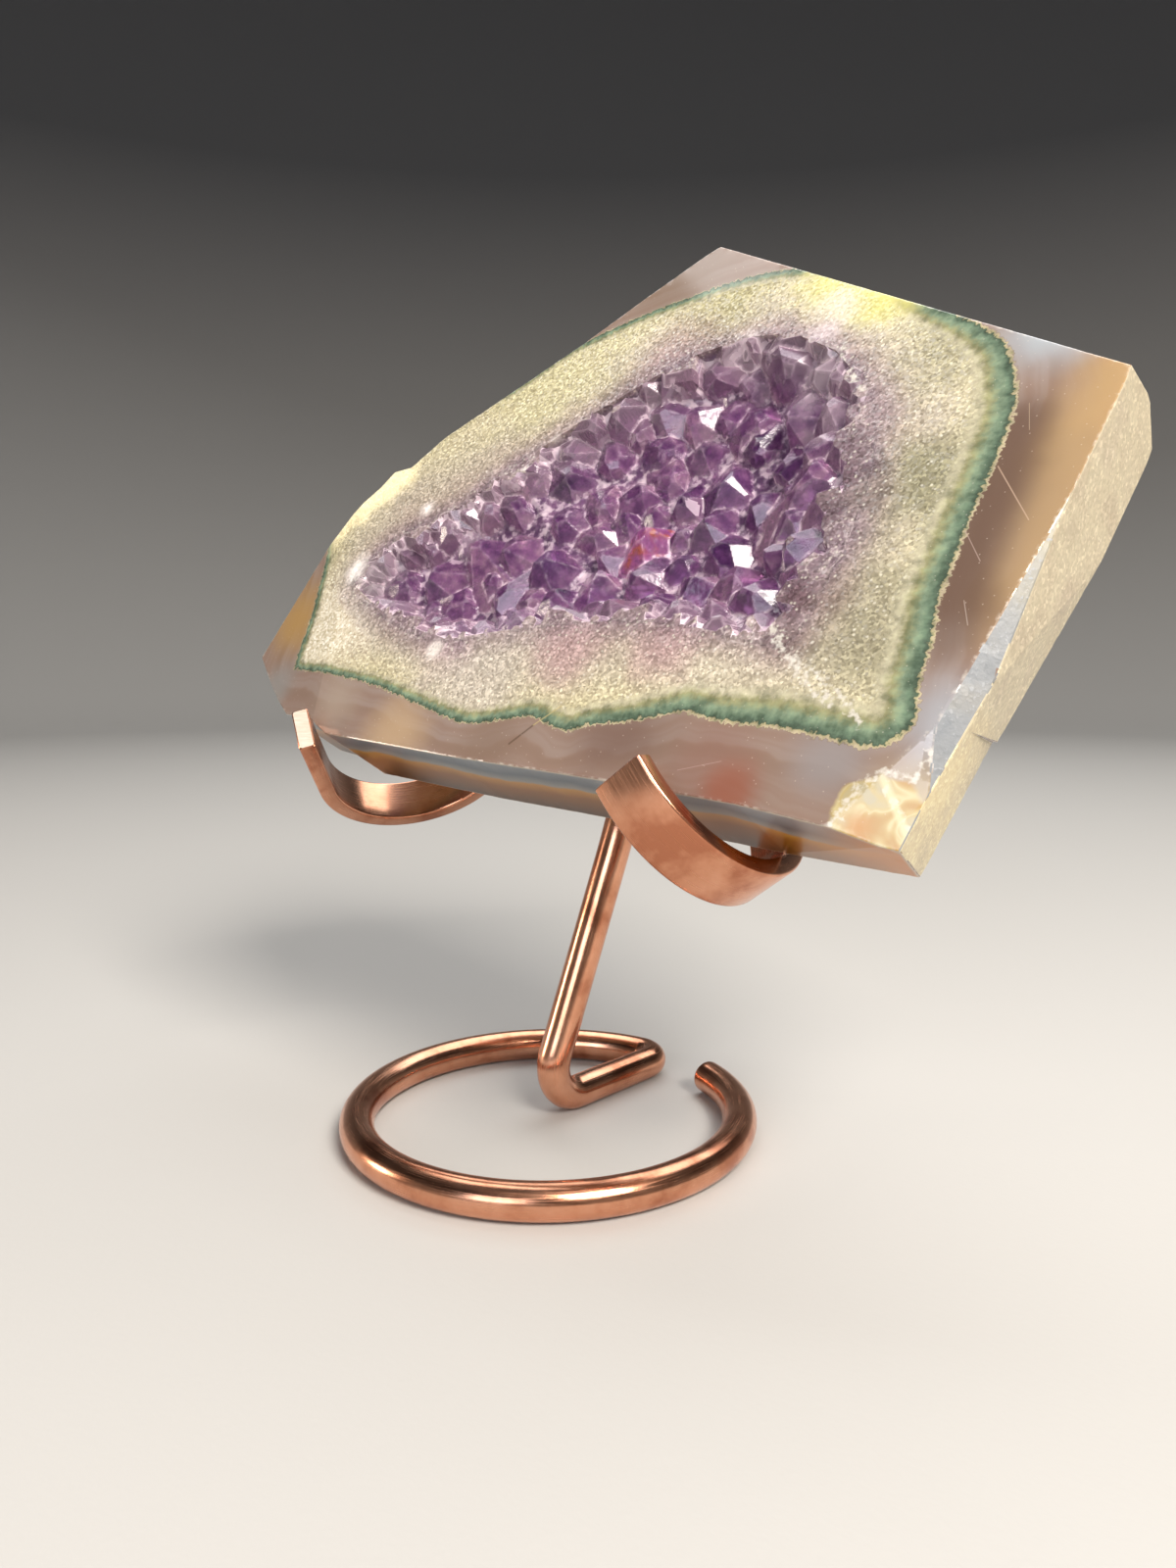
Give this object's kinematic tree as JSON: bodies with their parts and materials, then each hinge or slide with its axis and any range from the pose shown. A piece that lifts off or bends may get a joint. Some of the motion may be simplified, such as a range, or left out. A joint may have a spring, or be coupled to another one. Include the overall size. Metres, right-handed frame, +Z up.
{
  "type": "agate slice on a copper stand",
  "caption": "Thick polished agate slice with an amethyst hollow, leaning back in a hooked flat-bar cradle on a bent copper rod stand with a ring foot.",
  "frame": {"origin": "under the middle of the whole, on the surface it stands on", "axes": "+Z up; the polished face looks towards -Y; +X to the right seen from the front"},
  "size_m": [0.172, 0.0986, 0.1688],
  "materials": {
    "agate": "polished translucent grey-mauve to amber agate with a green rind and a sugary quartz zone; sides saw-cut and matt cream",
    "amethyst": "clear purple crystal points with glassy faces",
    "copper": "bright drawn copper, lightly rubbed, no lacquer"
  },
  "bodies": {
    "root": {"agate_slab": "agate", "amethyst_crust": "amethyst", "base_ring_and_stem": "copper", "cradle_arms": "copper"}
  },
  "joints": []
}
